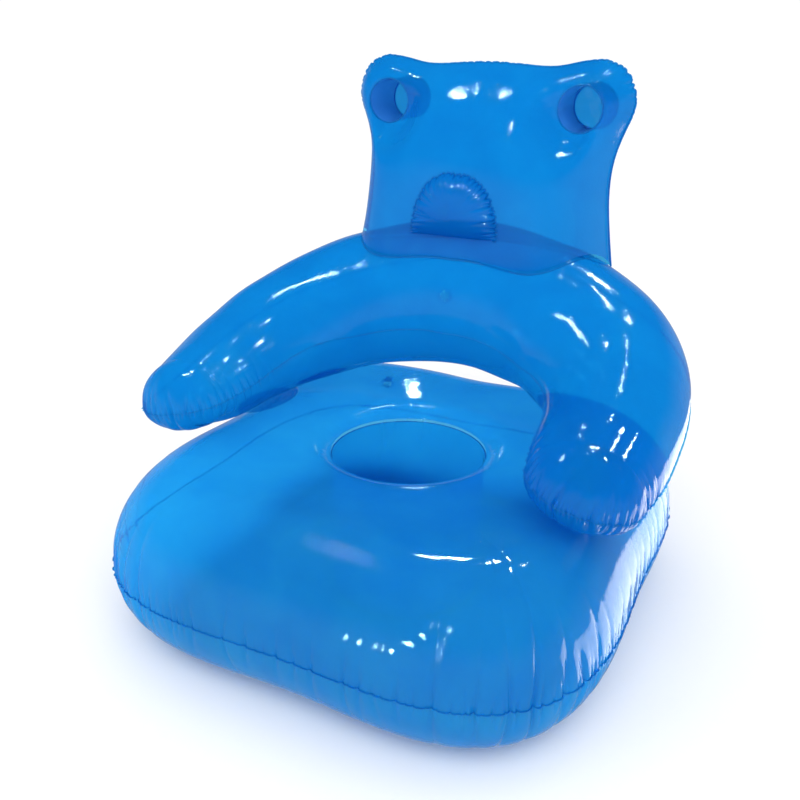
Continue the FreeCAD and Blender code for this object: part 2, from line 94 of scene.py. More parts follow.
CUP_X, CUP_Z, CUP_RADIUS = 0.198, 0.906, 0.0435
CUP_FRONT, CUP_BACK, CUP_DIMPLE = 0.288, 0.396, 0.036
CUP_HOLD_EDGE, CUP_HOLD_TOP = 4.5, 5.0             # how fast a cup lets go of the film near the weld
PAD_HALF_WIDTH, PAD_FOOT, PAD_TOP, PAD_THICKNESS = 0.090, 0.668, 0.790, 0.026
PAD_SQUARENESS, PAD_LIFT = 2.3, 0.0012
PATCH_X, PATCH_Y, PATCH_HEIGHT, PATCH_TILT = 0.352, 0.037, 0.3115, 6.0
PATCH_HALF_WIDTH, PATCH_HALF_LENGTH = 0.053, 0.085
FLAP_HINGE_OUT, FLAP_HINGE_IN = 0.0070, 0.0103     # from the valve's foot to its flap's hinge
VALVE_HOLE = 0.0105                                # in the film, under the valve's flange
STRAP_IN, STRAP_OUT = 0.0080, 0.0110               # from the valve's axis to the strap's ends and bend
STRAP_HEIGHTS = (0.0148, 0.0172)                   # the stem's lip and the cap's head
STRAP_HALF_WIDTH, STRAP_HALF_THICKNESS = 0.0020, 0.0004

SKIN_GAP = 0.0002                  # from the weld plane to each of the two sheets
BAND_WIDTH, BAND_HALF_THICKNESS = 0.0032, 0.00025


# ---- numbers ------------------------------------------------------------------------------------
def spline(positions, values):
    """Natural cubic spline through the values, as a function that takes arrays."""
    positions, values = np.asarray(positions, float), np.asarray(values, float)
    n = len(positions)
    steps = np.diff(positions)
    slopes = np.diff(values) / steps
    system, right = np.eye(n), np.zeros(n)
    for i in range(1, n - 1):
        system[i, i - 1:i + 2] = steps[i - 1], 2.0 * (steps[i - 1] + steps[i]), steps[i]
        right[i] = 6.0 * (slopes[i] - slopes[i - 1])
    bend = np.linalg.solve(system, right)

    def value(at):
        at = np.asarray(at, float)
        i = np.clip(np.searchsorted(positions, at) - 1, 0, n - 2)
        b = (at - positions[i]) / steps[i]
        a = 1.0 - b
        curve = ((a ** 3 - a) * bend[i] + (b ** 3 - b) * bend[i + 1]) * steps[i] ** 2 / 6.0
        return a * values[i] + b * values[i + 1] + curve
    return value


def unit(vectors):
    return vectors / np.maximum(np.linalg.norm(vectors, axis=-1, keepdims=True), 1e-12)


def smooth_noise(points, seed, size):
    """Slow irregularity from -1 to 1: a sum of a few waves in random directions."""
    rng = np.random.RandomState(seed)
    total = np.zeros(points.shape[:-1])
    for _ in range(9):
        direction = unit(rng.normal(size=3))
        wave = 2.0 * np.pi / (size * rng.uniform(0.7, 1.6))
        total += np.sin(points @ direction * wave + rng.uniform(0.0, 6.28))
    return total / 4.0


def at_ends(count):
    """Numbers from 0 to 1, closer together towards both ends."""
    return 0.5 - 0.5 * np.cos(np.pi * np.arange(count + 1) / count)


# ---- meshes -------------------------------------------------------------------------------------
def grid_faces(rows, columns, closed_rows=False, closed_columns=False):
    i = np.arange(rows if closed_rows else rows - 1)
    j = np.arange(columns if closed_columns else columns - 1)
    i, j = [a.ravel() for a in np.meshgrid(i, j, indexing="ij")]
    i2, j2 = (i + 1) % rows, (j + 1) % columns
    return np.stack([i * columns + j, i2 * columns + j, i2 * columns + j2, i * columns + j2], -1)


def piece_from(name, points, faces, material):
    mesh = bpy.data.meshes.new(name)
    mesh.from_pydata(np.asarray(points).reshape(-1, 3).tolist(), [], np.asarray(faces).tolist())
    mesh.validate()
    made = bmesh.new()
    made.from_mesh(mesh)
    bmesh.ops.dissolve_degenerate(made, dist=1e-7, edges=made.edges)
    bmesh.ops.remove_doubles(made, verts=made.verts, dist=1e-6)
    bmesh.ops.recalc_face_normals(made, faces=made.faces)
    made.to_mesh(mesh)
    made.free()
    mesh.polygons.foreach_set("use_smooth", [True] * len(mesh.polygons))
    mesh.materials.append(material)
    obj = bpy.data.objects.new(name, mesh)
    bpy.context.scene.collection.objects.link(obj)
    return obj


def cut_away(obj, chosen, context):
    """Delete what chosen picks out of a piece's mesh."""
    made = bmesh.new()
    made.from_mesh(obj.data)
    bmesh.ops.delete(made, geom=chosen(made), context=context)
    made.to_mesh(obj.data)
    made.free()


def grid_normals(points, away_from, closed_rows=False):
    """Unit normals of a grid of points, on the side away from a point or an array of points."""
    if closed_rows:
        wide = np.concatenate([points[-1:], points, points[:1]])
        along = np.gradient(wide, axis=0)[1:-1]
    else:
        along = np.gradient(points, axis=0)
    normals = unit(np.cross(along, np.gradient(points, axis=1)))
    flip = np.sum(normals * (points - away_from), -1, keepdims=True) < 0.0
    return np.where(flip, -normals, normals)


# ---- welds and the creases that cross them ------------------------------------------------------
class Weld:
    """A line of points with the direction in which the two films end there."""

    def __init__(self, points, outward, closed, pinned=0.0):
        self.points, self.outward, self.closed = points, unit(outward), closed
        self.pinned = pinned
        ends = np.roll(points, -1, 0) if closed else points[1:]
        steps = np.linalg.norm(ends - (points if closed else points[:-1]), axis=-1)
        self.length = float(steps.sum())
        self.places = np.concatenate([[0.0], np.cumsum(steps)])[:len(points)]
        self.tangents = unit(np.roll(points, -1, 0) - np.roll(points, 1, 0) if closed
                             else np.gradient(points, axis=0))
        self.creases = []

    def add_creases(self, seed, spacing, widths, depth, reach, strength):
        """strength says how deep the creases are at a point of the weld, from 0 to 1."""
        rng = random.Random(seed)
        place = rng.uniform(0.0, spacing)
        while place < self.length:
            power = strength(self.points[np.searchsorted(self.places, place) - 1])
            self.creases.append((place, rng.uniform(*widths), depth * power * rng.uniform(0.35, 1.0),
                                 reach * rng.uniform(0.45, 1.0) * (0.4 + 0.6 * power),
                                 rng.uniform(-0.20, 0.20)))
            place += spacing * rng.uniform(0.55, 1.45)

    def depth_at(self, place, away):
        total = np.zeros(place.shape)
        for start, width, depth, reach, slant in self.creases:
            offset = place - start
            if self.closed:
                offset = (offset + self.length / 2.0) % self.length - self.length / 2.0
            near = (np.abs(offset) < 6.0 * width + 0.3 * reach) & (away < 2.6 * reach)
            if not near.any():
                continue
            far = away[near] / reach
            across = np.abs(offset[near] + slant * away[near]) / (width * (1.0 + 1.3 * far))
            total[near] += depth * np.exp(-across ** 1.3) * np.exp(-far ** 1.8)
        return total

    def pucker(self, points, normals):
        """The points, pulled in along the creases; a pinned weld stays where it is."""
        tree = KDTree(len(self.points))
        for k, p in enumerate(self.points):
            tree.insert(p, k)
        tree.balance()
        flat = points.reshape(-1, 3)
        nearest = np.array([tree.find(p)[1] for p in flat])
        gap = flat - self.points[nearest]
        along = np.sum(gap * self.tangents[nearest], -1)
        place = self.places[nearest] + along
        away = np.sqrt(np.maximum(np.sum(gap * gap, -1) - along ** 2, 0.0))
        depth = self.depth_at(place, away)
        if self.pinned:
            depth *= 1.0 - np.exp(-(away / self.pinned) ** 2)
        hold = np.exp(-(away / 0.010) ** 2)[:, None]
        direction = unit(normals.reshape(-1, 3) * (1.0 - hold) + self.outward[nearest] * hold)
        return (flat - direction * depth[:, None]).reshape(points.shape)

    def band(self, name, material, across, width=BAND_WIDTH, flutter=0.0009):
        """The flat strip where both films are fused, standing out past the weld."""
        depth = self.depth_at(self.places, np.zeros(len(self.points)))[:, None] * (self.pinned == 0.0)
        inner = self.points - self.outward * (depth + 0.0006)
        lift = unit(across)
        wave = flutter * smooth_noise(self.points, 5, 0.05)[:, None] + 0.10 * depth
        outer = inner + self.outward * width + lift * wave
        half = lift * BAND_HALF_THICKNESS
        section = np.stack([inner - half, outer - half * 0.6, outer + half * 0.6, inner + half], 1)
        rows = len(self.points)
        faces = grid_faces(rows, 4, self.closed, True).tolist()
        if not self.closed:
            faces += [[0, 1, 2, 3], [4 * rows - 1, 4 * rows - 2, 4 * rows - 3, 4 * rows - 4]]
        return piece_from(name, section, faces, material)


# ---- materials ----------------------------------------------------------------------------------
def node_material(name):
    material = bpy.data.materials.new(name)
    material.use_nodes = True
    tree = material.node_tree
    shader = tree.nodes["Principled BSDF"]
    place = tree.nodes.new("ShaderNodeTexCoord")
    return material, tree, shader, place


def noise_node(tree, place, scale, detail=2.0, distortion=0.0):
    node = tree.nodes.new("ShaderNodeTexNoise")
    node.inputs["Scale"].default_value = scale
    node.inputs["Detail"].default_value = detail
    node.inputs["Distortion"].default_value = distortion
    tree.links.new(place.outputs["Object"], node.inputs["Vector"])
    return node


def ramp_node(tree, source, *stops):
    node = tree.nodes.new("ShaderNodeValToRGB")
    for k, (at, colour) in enumerate(stops):
        stop = node.color_ramp.elements[k] if k < 2 else node.color_ramp.elements.new(at)
        stop.position = at
        stop.color = (*colour, 1.0)
    tree.links.new(source, node.inputs["Fac"])
    return node


def bump_nodes(tree, heights):
    """Chain of bumps from (height output, distance in metres, strength)."""
    last = None
    for source, distance, strength in heights:
        bump = tree.nodes.new("ShaderNodeBump")
        bump.inputs["Distance"].default_value = distance
        bump.inputs["Strength"].default_value = strength
        tree.links.new(source, bump.inputs["Height"])
        if last:
            tree.links.new(last.outputs["Normal"], bump.inputs["Normal"])
        last = bump
    return last


def film_material(name, deep, light, clear, ripple=1.0):
    """Clear vinyl film: tinted, glossy, finely rippled, a little milky where it scatters light."""
    material, tree, shader, place = node_material(name)
    patches = noise_node(tree, place, 9.0, 4.0, 0.4)
    colour = ramp_node(tree, patches.outputs["Fac"], (0.35, deep), (0.65, light))
    tree.links.new(colour.outputs["Color"], shader.inputs["Base Color"])
    ripples = noise_node(tree, place, 26.0, 3.0, 0.6)
    spots = noise_node(tree, place, 120.0, 3.0, 0.8)
    grain = noise_node(tree, place, 420.0, 2.0)
    bump = bump_nodes(tree, [(ripples.outputs["Fac"], 0.003, 0.14 * ripple),
                             (spots.outputs["Fac"], 0.0010, 0.24 * ripple),
                             (grain.outputs["Fac"], 0.0002, 0.16)])
    tree.links.new(bump.outputs["Normal"], shader.inputs["Normal"])
    tree.links.new(bump.outputs["Normal"], shader.inputs["Coat Normal"])
    smear = tree.nodes.new("ShaderNodeMapRange")
    smear.inputs["To Min"].default_value = 0.02
    smear.inputs["To Max"].default_value = 0.07
    tree.links.new(patches.outputs["Fac"], smear.inputs["Value"])
    tree.links.new(smear.outputs["Result"], shader.inputs["Roughness"])
    shader.inputs["IOR"].default_value = 1.01
    shader.inputs["Transmission Weight"].default_value = clear
    shader.inputs["Coat Weight"].default_value = 0.5
    shader.inputs["Coat IOR"].default_value = 1.5
    shader.inputs["Coat Roughness"].default_value = 0.04
    return material


FILM = film_material("clear_blue_film", (0.003, 0.25, 0.74), (0.004, 0.29, 0.79), 0.62)
# The seat and base films are lighter copies of the clear blue film: painted light, brighter than the film's
# own tint to make up for the shade under and inside the cushion.
SEAT_FILM_PAINTED_LIGHTER = film_material("clear_blue_seat_film_painted_lighter", (0.014, 0.40, 0.97), (0.020, 0.46, 1.00), 0.66, 0.8)
BASE_FILM_PAINTED_LIGHTER = film_material("clear_blue_base_film_painted_lighter", (0.014, 0.43, 0.97), (0.020, 0.49, 1.00), 0.62)
WELL_FILM = film_material("clear_blue_well_film", (0.010, 0.40, 0.92), (0.014, 0.45, 0.95), 0.74)
WELD = film_material("fused_blue_film", (0.01, 0.26, 0.72), (0.02, 0.32, 0.78), 0.60, 0.4)
LIGHT_WELD = film_material("fused_light_blue_film", (0.05, 0.52, 0.92), (0.07, 0.58, 0.95), 0.80, 0.4)
PATCH = film_material("weld_patch_film", (0.06, 0.62, 0.94), (0.08, 0.68, 0.96), 0.88, 0.5)
CUP_FLOOR = film_material("cup_floor_film", (0.0004, 0.16, 0.74), (0.0006, 0.19, 0.78), 0.50)
CUP = film_material("double_cup_film", (0.050, 0.25, 0.80), (0.060, 0.29, 0.86), 0.45)


# ---- seat cushion -------------------------------------------------------------------------------
def seat_outline(angle):
    across = np.abs(np.cos(angle) / SEAT_HALF_WIDTH) ** SEAT_SQUARENESS
    along = np.abs(np.sin(angle) / SEAT_HALF_DEPTH) ** SEAT_SQUARENESS
    return (across + along) ** (-1.0 / SEAT_SQUARENESS) * (1.0 - SEAT_SIDE_PULL * np.cos(2 * angle) ** 4)


def seat_points(angle, t, side):
    """The seat's upper or lower film; t runs from the perimeter weld at 0 to the well at 1."""
    outline = seat_outline(angle)
    half_height = SEAT_TOP - SEAT_WELD_HEIGHT if side > 0 else SEAT_WELD_HEIGHT
    edge = SEAT_EDGE[side]
    turn = np.pi * np.minimum(t, 0.5)
    crown = outline - edge
    inner = crown + (WELL_RADIUS - crown) * (2.0 * t - 1.0)
    distance = np.where(t <= 0.5, outline - edge * (1.0 - np.cos(turn)), inner)
    drop = SEAT_TOP - WELL_TOP if side > 0 else WELL_BOTTOM
    shoulder = np.clip((WELL_RADIUS + WELL_SHOULDER - inner) / WELL_SHOULDER, 0.0, 1.0)
    height = np.where(t <= 0.5, half_height * np.sin(turn),
                      half_height - drop * (1.0 - np.sqrt(1.0 - shoulder ** 2 * WELL_SHOULDER_TURN)))
    towards_well = np.clip((outline - distance) / (outline - WELL_RADIUS), 0.0, 1.0)
    return np.stack([distance * np.cos(angle), distance * np.sin(angle) + WELL_Y * towards_well,
                     SEAT_WELD_HEIGHT + side * (height + SKIN_GAP)], -1)


def circle(radius, centre, count, axis="z"):
    angle = 2.0 * np.pi * np.arange(count) / count
    zero = np.zeros(count)
    ring = (np.cos(angle), np.sin(angle), zero) if axis == "z" else (np.cos(angle), zero, np.sin(angle))
    direction = np.stack(ring, -1)
    return np.asarray(centre) + radius * direction, direction


def seat_strength(point):
    """Creases are deep round the corners of the cushion and shallow along its sides."""
    return 0.30 + 0.70 * abs(math.sin(2.0 * math.atan2(point[1], point[0]))) ** 3


def everywhere(point):
    return 1.0


angle = 2.0 * np.pi * np.arange(2400) / 2400
edge_line = seat_points(angle, np.zeros(2400), 1)
edge_line[:, 2] = SEAT_WELD_HEIGHT
step = np.roll(edge_line, -1, 0) - np.roll(edge_line, 1, 0)
SEAT_WELD = Weld(edge_line, np.stack([step[:, 1], -step[:, 0], 0.0 * angle], -1), True)
SEAT_WELD.add_creases(11, 0.044, (0.0022, 0.0042), 0.0100, 0.120, seat_strength)
SEAT_WELD.add_creases(12, 0.016, (0.0018, 0.0030), 0.0056, 0.050, seat_strength)
WELL_WELDS = {}
for side, height in ((1, WELL_TOP), (-1, WELL_BOTTOM)):
    ring, direction = circle(WELL_RADIUS, (0.0, WELL_Y, height), 900)
    WELL_WELDS[side] = Weld(ring, -direction, True, pinned=0.006)
    WELL_WELDS[side].add_creases(21 + side, 0.030, (0.003, 0.005), 0.0014, 0.035, everywhere)


def seat_film(side, name, material):
    turns = 2.0 * np.pi * np.arange(2100) / 2100
    t = np.concatenate([0.5 * at_ends(44)[:-1], 0.5 + 0.5 * at_ends(26)])
    angle_grid, t_grid = np.meshgrid(turns, t, indexing="ij")
    points = seat_points(angle_grid, t_grid, side)
    normals = grid_normals(points, np.array([0.0, 0.0, SEAT_WELD_HEIGHT]), closed_rows=True)
    points = SEAT_WELD.pucker(points, normals)
    points = WELL_WELDS[side].pucker(points, normals)
    slack = np.clip(t_grid * 3.0, 0.0, 1.0) * np.clip((1.0 - t_grid) * 5.0, 0.0, 1.0)
    if side > 0:
        points += normals * (0.0012 * smooth_noise(points, 31, 0.19) * slack)[..., None]
    else:
        points[..., 2] = np.maximum(points[..., 2], 0.0004)
    return piece_from(name, points, grid_faces(len(turns), len(t), True), material)


def well_wall():
    turns, heights = 2.0 * np.pi * np.arange(360) / 360, np.linspace(0.0, 1.0, 60)
    turn, h = np.meshgrid(turns, heights, indexing="ij")
    waist = WELL_WAIST * np.sin(np.pi * h)
    rng = random.Random(41)
    for _ in range(16):
        at, wide, deep = rng.uniform(0.0, 6.283), rng.uniform(0.02, 0.05), rng.uniform(-0.004, 0.004)
        lean = rng.uniform(-0.25, 0.25)
        offset = (turn - at + lean * h + np.pi) % (2.0 * np.pi) - np.pi
        waist = waist + deep * np.exp(-(offset / wide) ** 2) * np.sin(np.pi * h)
    radius = WELL_RADIUS - 0.0006 - waist
    points = np.stack([radius * np.cos(turn), WELL_Y + radius * np.sin(turn),
                       WELL_BOTTOM + (WELL_TOP - WELL_BOTTOM) * h], -1)
    return piece_from("well_wall_film", points, grid_faces(360, 60, True), WELL_FILM)


def disc_grid(radius, centre, rings, count, axis):
    """Rows of points from the rim to the middle of a disc."""
    rim = circle(1.0, (0.0, 0.0, 0.0), count, axis)[0]
    shares = np.linspace(1.0, 0.0, rings)
    return np.asarray(centre) + radius * shares[None, :, None] * rim[:, None, :]


def well_floor():
    points = disc_grid(WELL_RADIUS - 0.004, (0.0, WELL_Y, WELL_BOTTOM + 0.001), 40, 240, "z")
    wave = smooth_noise(points, 43, 0.07)
    rise = 0.0018 * wave * np.linspace(0.0, 1.0, 40)[None, :] ** 0.3
    points[..., 2] += np.clip(rise, -0.001, 0.004)
    # The well floor wears the lighter base film, painted light against the shade inside the cushion.
    return piece_from("well_floor_film", points, grid_faces(240, 40, True), BASE_FILM_PAINTED_LIGHTER)


# ---- horseshoe tube -----------------------------------------------------------------------------
def ring_laws():
    stations = [(-s[0],) + s[1:] for s in RING_STATIONS[:0:-1]] + list(RING_STATIONS)
    distances = [0.0]
    for a, b in zip(stations, stations[1:]):
        distances.append(distances[-1] + math.dist(a[:3], b[:3]))
    half = distances[-1] / 2.0
    distances = [d - half for d in distances]
    path = [spline(distances, [s[k] for s in stations]) for k in range(3)]
    sizes = [spline(distances[1:-1], [s[k] for s in stations[1:-1]]) for k in range(3, 6)]
    return path, sizes, distances[-2], distances[-1]


RING_PATH, RING_SIZES, RING_CAP_START, RING_LENGTH = ring_laws()


def ring_frame(distance):
    """Centre, outward and upward directions of the tube's section at a distance from the back."""
    step = 0.002
    here = np.stack([law(distance) for law in RING_PATH], -1)
    tangent = np.stack([law(distance + step) - law(distance - step) for law in RING_PATH[:2]], -1)
    tangent = unit(tangent)
    out_x, out_y = -tangent[..., 1], tangent[..., 0]
    slope = RING_BACK_SLOPE * out_y - RING_SIDE_SLOPE * np.abs(out_x)
    across = unit(np.stack([out_x, out_y, slope], -1))
    up = unit(np.stack([-out_x * slope, -out_y * slope, np.ones_like(slope)], -1))
    return here, across, up


def ring_points(distance, turn, proud=0.0):
    """Points on the tube; turn is in degrees from the outer weld over the crown."""
    distance, turn = np.broadcast_arrays(np.asarray(distance, float), np.asarray(turn, float))
    here, across, up = ring_frame(distance)
    reach = np.minimum(np.abs(distance), RING_CAP_START)
    width, rise, depth = [law(reach) + proud for law in RING_SIZES]
    cap_length = RING_LENGTH - RING_CAP_START + proud
    cap = np.clip((np.abs(distance) - RING_CAP_START) / cap_length, 0.0, 1.0)
    width = width * np.sqrt(1.0 - cap ** 2 * RING_TIP_TAPER)
    angle = np.radians(turn)
    lift = np.where(np.sin(angle) >= 0.0, rise, depth) * np.sqrt(1.0 - cap ** 2) * np.sin(angle)
    return here + across * (width * np.cos(angle))[..., None] + up * lift[..., None]


def ring_weld():
    """Closed line of the tube's weld: along the outer side, round a tip, back along the inner side."""
    dense = RING_LENGTH * np.sin(np.pi / 2.0 * np.linspace(-1.0, 1.0, 1500))
    tip = np.linspace(0.0, 180.0, 14)[1:-1]
    outer, inner = ring_points(dense, 0.0), ring_points(dense[::-1], 180.0)
    right, left = ring_points(RING_LENGTH, tip), ring_points(-RING_LENGTH, tip[::-1])
    line = np.concatenate([outer, right, inner, left])
    place = np.concatenate([dense, 0 * tip + RING_LENGTH, dense[::-1], 0 * tip - RING_LENGTH])
    up = ring_frame(place)[2]
    tangent = unit(np.roll(line, -2, 0) - np.roll(line, 2, 0))
    return line, np.cross(tangent, up), up


def ring_strength(point):
    """Deep round the two tips, faint along the outer side, none along the tight inner side."""
    tip = math.exp(-(max(0.0, point[1] + 0.17) / 0.09) ** 2)
    outer = 0.12 if math.hypot(point[0], point[1]) > 0.40 else 0.02
    return max(outer, tip)


line, outward, RING_UP = ring_weld()
if np.dot(outward[750], line[750] - np.array([0.0, 0.0, line[750][2]])) < 0.0:
    outward = -outward
RING_WELD = Weld(line, outward, True)
RING_WELD.add_creases(51, 0.021, (0.0021, 0.0036), 0.0068, 0.058, ring_strength)
RING_WELD.add_creases(52, 0.0092, (0.0015, 0.0025), 0.0040, 0.030, ring_strength)


def ring_film(side, name):
    length = RING_LENGTH * np.sin(np.pi / 2.0 * np.linspace(-1.0, 1.0, 1100))
    turns = side * 180.0 * at_ends(84)
    distance, turn = np.meshgrid(length, turns, indexing="ij")
    points = ring_points(distance, turn)
    here, _, up = ring_frame(distance)
    points += up * side * SKIN_GAP
    normals = grid_normals(points, here - up * side * 0.01)
    points = RING_WELD.pucker(points, normals)
    slack = np.sin(np.radians(np.abs(turn))) ** 0.8
    slack = slack * np.clip((RING_LENGTH - np.abs(distance)) * 12.0, 0.0, 1.0)
    points += normals * (0.0020 * smooth_noise(points, 61, 0.16) * slack)[..., None]
    return piece_from(name, points, grid_faces(len(length), len(turns)), FILM)


# ---- headrest panel -----------------------------------------------------------------------------
def smooth_curve(points):
    """Curve through a few (x, z) points, as a function of the share of its length."""
    points = np.asarray(points)
    knots = np.concatenate([[0.0], np.cumsum(np.linalg.norm(np.diff(points, axis=0), axis=-1))])
    laws = [spline(knots, points[:, k]) for k in range(2)]
    fine = np.linspace(0.0, knots[-1], 600)
    line = np.stack([law(fine) for law in laws], -1)
    run = np.concatenate([[0.0], np.cumsum(np.linalg.norm(np.diff(line, axis=0), axis=-1))])
    return lambda share: np.stack([np.interp(np.asarray(share) * run[-1], run, line[:, k])
                                   for k in range(2)], -1)


PANEL_SIDE_AT = smooth_curve(PANEL_SIDE)
PANEL_TOP_AT = smooth_curve(PANEL_TOP)


def foot_line(share, front, further=0.0):
    """Where a headrest film meets the tube, from the middle at 0 to the corner at 1."""
    share = np.asarray(share, float)
    start = PANEL_FOOT[front]
    turn = start + (PANEL_CORNER_FOOT - start) * share ** PANEL_FOOT_BEND[front] + further
    low, high = np.full(share.shape, -0.001), np.full(share.shape, RING_CAP_START)
    for _ in range(40):
        middle = (low + high) / 2.0
        short = ring_points(middle, turn)[..., 0] < PANEL_CORNER[0] * share
        low, high = np.where(short, middle, low), np.where(short, high, middle)
    return ring_points(low, turn, proud=0.0008)


def panel_points(across, v, front):
    """A headrest film: across from -1 to 1 (one row each), v from the foot at 0 to the top at 1."""
    side = np.abs(across)
    direction = -1.0 if front else 1.0
    foot = foot_line(side, front)[:, None, :]
    corner, middle = foot_line(np.array([1.0, 0.0]), front)
    u, w = side[:, None], v[None, :]
    edge = PANEL_SIDE_AT(v)[None]
    top = PANEL_TOP_AT(1.0 - side)[:, None]
    top_corner, top_middle = PANEL_TOP_AT(np.array([0.0, 1.0]))
    x = (1 - w) * foot[..., 0] + w * top[..., 0] + u * edge[..., 0]
    x = x - u * ((1 - w) * corner[0] + w * top_corner[0])
    middle_z = (1 - w) * middle[2] + w * top_middle[1]
    z = (1 - w) * foot[..., 2] + w * top[..., 1] + (1 - u) * middle_z + u * edge[..., 1]
    z = z - (1 - u) * middle_z - u * ((1 - w) * corner[2] + w * top_corner[1])
    rise = np.clip(np.sin(np.pi * w ** PANEL_BULGE_RISE[front]), 0.0, 1.0) ** PANEL_BULGE_END[front]
    swell = np.clip(1.0 - u ** PANEL_PILLOW[0], 0.0, 1.0) ** PANEL_PILLOW[1] * rise
    y = PANEL_Y + (foot[..., 1] - PANEL_Y) * (1.0 - w) ** 1.2 + direction * PANEL_BULGE[front] * swell
    past_rim = np.maximum(0.0, np.hypot(x - CUP_X, z - CUP_Z) - CUP_RADIUS)
    held = np.exp(-(past_rim / CUP_DIMPLE) ** 2)
    held = held * np.clip(CUP_HOLD_EDGE * (1.0 - u), 0.0, 1.0) * np.clip(CUP_HOLD_TOP * (1.0 - w), 0.0, 1.0)
    y = y + held * ((CUP_FRONT if front else CUP_BACK) - y) + direction * SKIN_GAP
    return np.stack([np.sign(across)[:, None] * x, y, z], -1)


def panel_weld():
    """Open line of the headrest's edge weld, from the left foot corner over the top to the right one."""
    up_side = PANEL_SIDE_AT(np.linspace(0.0, 1.0, 420))
    over = PANEL_TOP_AT(np.linspace(0.0, 1.0, 240))[1:]
    right = np.concatenate([up_side, over])
    left = right[::-1][1:] * np.array([-1.0, 1.0])
    flat = np.concatenate([right, left])[::-1]
    line = np.stack([flat[:, 0], np.full(len(flat), PANEL_Y), flat[:, 1]], -1)
    tangent = np.gradient(line, axis=0)
    outward = np.stack([-tangent[:, 2], 0.0 * tangent[:, 1], tangent[:, 0]], -1)
    return line, outward


def panel_strength(point):
    """Deep round the two ears, moderate at the middle of the top, faint along the tight sides."""
    ear = math.exp(-(math.hypot(abs(point[0]) - 0.265, point[2] - 0.960) / 0.055) ** 2)
    top = 0.55 * math.exp(-(point[0] / 0.065) ** 2) if point[2] > CUP_Z else 0.0
    return max(0.04, ear, top)


line, outward = panel_weld()
PANEL_WELD = Weld(line, outward, False)
PANEL_WELD.add_creases(71, 0.017, (0.0022, 0.0036), 0.0042, 0.034, panel_strength)
PANEL_WELD.add_creases(72, 0.0080, (0.0014, 0.0024), 0.0018, 0.016, panel_strength)
CUP_WELDS = {}
for front, depth in ((True, CUP_FRONT), (False, CUP_BACK)):
    for hand in (-1, 1):
        ring, direction = circle(CUP_RADIUS, (hand * CUP_X, depth, CUP_Z), 400, "y")
        CUP_WELDS[front, hand] = Weld(ring, -direction, True, pinned=0.005)
        CUP_WELDS[front, hand].add_creases(81 + hand, 0.016, (0.002, 0.003), 0.0018, 0.024, everywhere)


def cut_round_hole(points, faces, hand, depth):
    """Drop the faces inside a cup's rim and draw the edge of the hole onto the rim's circle."""
    flat = points.reshape(-1, 3)
    reach = np.hypot(flat[:, 0] - hand * CUP_X, flat[:, 2] - CUP_Z)
    inside = reach[faces].mean(-1) < CUP_RADIUS
    rim = np.intersect1d(faces[inside], faces[~inside])
    scale = (CUP_RADIUS / reach[rim])[:, None]
    centre = np.array([hand * CUP_X, CUP_Z])
    flat[np.ix_(rim, [0, 2])] = centre + (flat[np.ix_(rim, [0, 2])] - centre) * scale
    flat[rim, 1] = depth
    return flat.reshape(points.shape), faces[~inside]


def panel_film(front, name):
    half = np.sin(np.pi / 2.0 * np.linspace(0.0, 1.0, 170))
    across = np.concatenate([-half[:0:-1], half])
    v = np.concatenate([0.5 * np.linspace(0.0, 1.0, 100)[:-1],
                        0.5 + 0.5 * np.sin(np.pi / 2.0 * np.linspace(0.0, 1.0, 150))])
    across[len(half) - 1] = 1e-9       # not quite zero, so that the middle row keeps a side
    points = panel_points(across, v, front)
    depth = CUP_FRONT if front else CUP_BACK
    normals = grid_normals(points, np.array([0.0, PANEL_Y, 0.0]) + points * np.array([1.0, 0.0, 1.0]))
    points = PANEL_WELD.pucker(points, normals)
    for hand in (-1, 1):
        points = CUP_WELDS[front, hand].pucker(points, normals)
    slack = (np.clip(3.0 * (1.0 - np.abs(across))[:, None], 0.0, 1.0)
             * np.clip(5.0 * v * (1.0 - v), 0.0, 1.0)[None, :])
    points += normals * (0.0020 * smooth_noise(points, 91 if front else 92, 0.15) * slack)[..., None]
    faces = grid_faces(len(across), len(v))
    for hand in (-1, 1):
        points, faces = cut_round_hole(points, faces, hand, depth)
    obj = piece_from(name, points, faces, FILM)
    cut_away(obj, lambda made: [v for v in made.verts if not v.link_faces], "VERTS")
    return obj


def foot_weld(front, name):
    """Strip where a headrest film is fused to the tube, lying on the tube just past the film."""
    across = np.linspace(-1.0, 1.0, 500)
    mirror = np.stack([np.sign(across), 1.0 + 0.0 * across, 1.0 + 0.0 * across], -1)
    line = foot_line(np.abs(across), front) * mirror
    past = foot_line(np.abs(across), front, 3.0 if front else -3.0) * mirror
    outward = unit(past - line)
    lift = unit(np.cross(np.gradient(line, axis=0), outward))
    lift = np.where(lift[:, 2:] < 0.0, -lift, lift)
    return Weld(line + 0.0006 * lift, outward, False).band(name, WELD, lift, 0.0045, 0.0003)


def cup_wall(hand, name):
    turns, depths = 2.0 * np.pi * np.arange(200) / 200, np.linspace(0.0, 1.0, 40)
    turn, h = np.meshgrid(turns, depths, indexing="ij")
    pinch = 0.0020 * np.sin(np.pi * h) * (1.0 + 0.6 * np.sin(5.0 * turn + 2.0 * h + hand))
    radius = CUP_RADIUS - 0.0004 - pinch
    points = np.stack([hand * CUP_X + radius * np.cos(turn), CUP_FRONT + (CUP_BACK - CUP_FRONT) * h,
                       CUP_Z + radius * np.sin(turn)], -1)
    return piece_from(name, points, grid_faces(200, 40, True), CUP)


def cup_floor(hand, name):
    points = disc_grid(CUP_RADIUS - 0.0012, (hand * CUP_X, CUP_BACK - 0.002, CUP_Z), 20, 160, "y")
    points[..., 1] += 0.0012 * smooth_noise(points, 95 + hand, 0.03)
    return piece_from(name, points, grid_faces(160, 20, True), CUP_FLOOR)


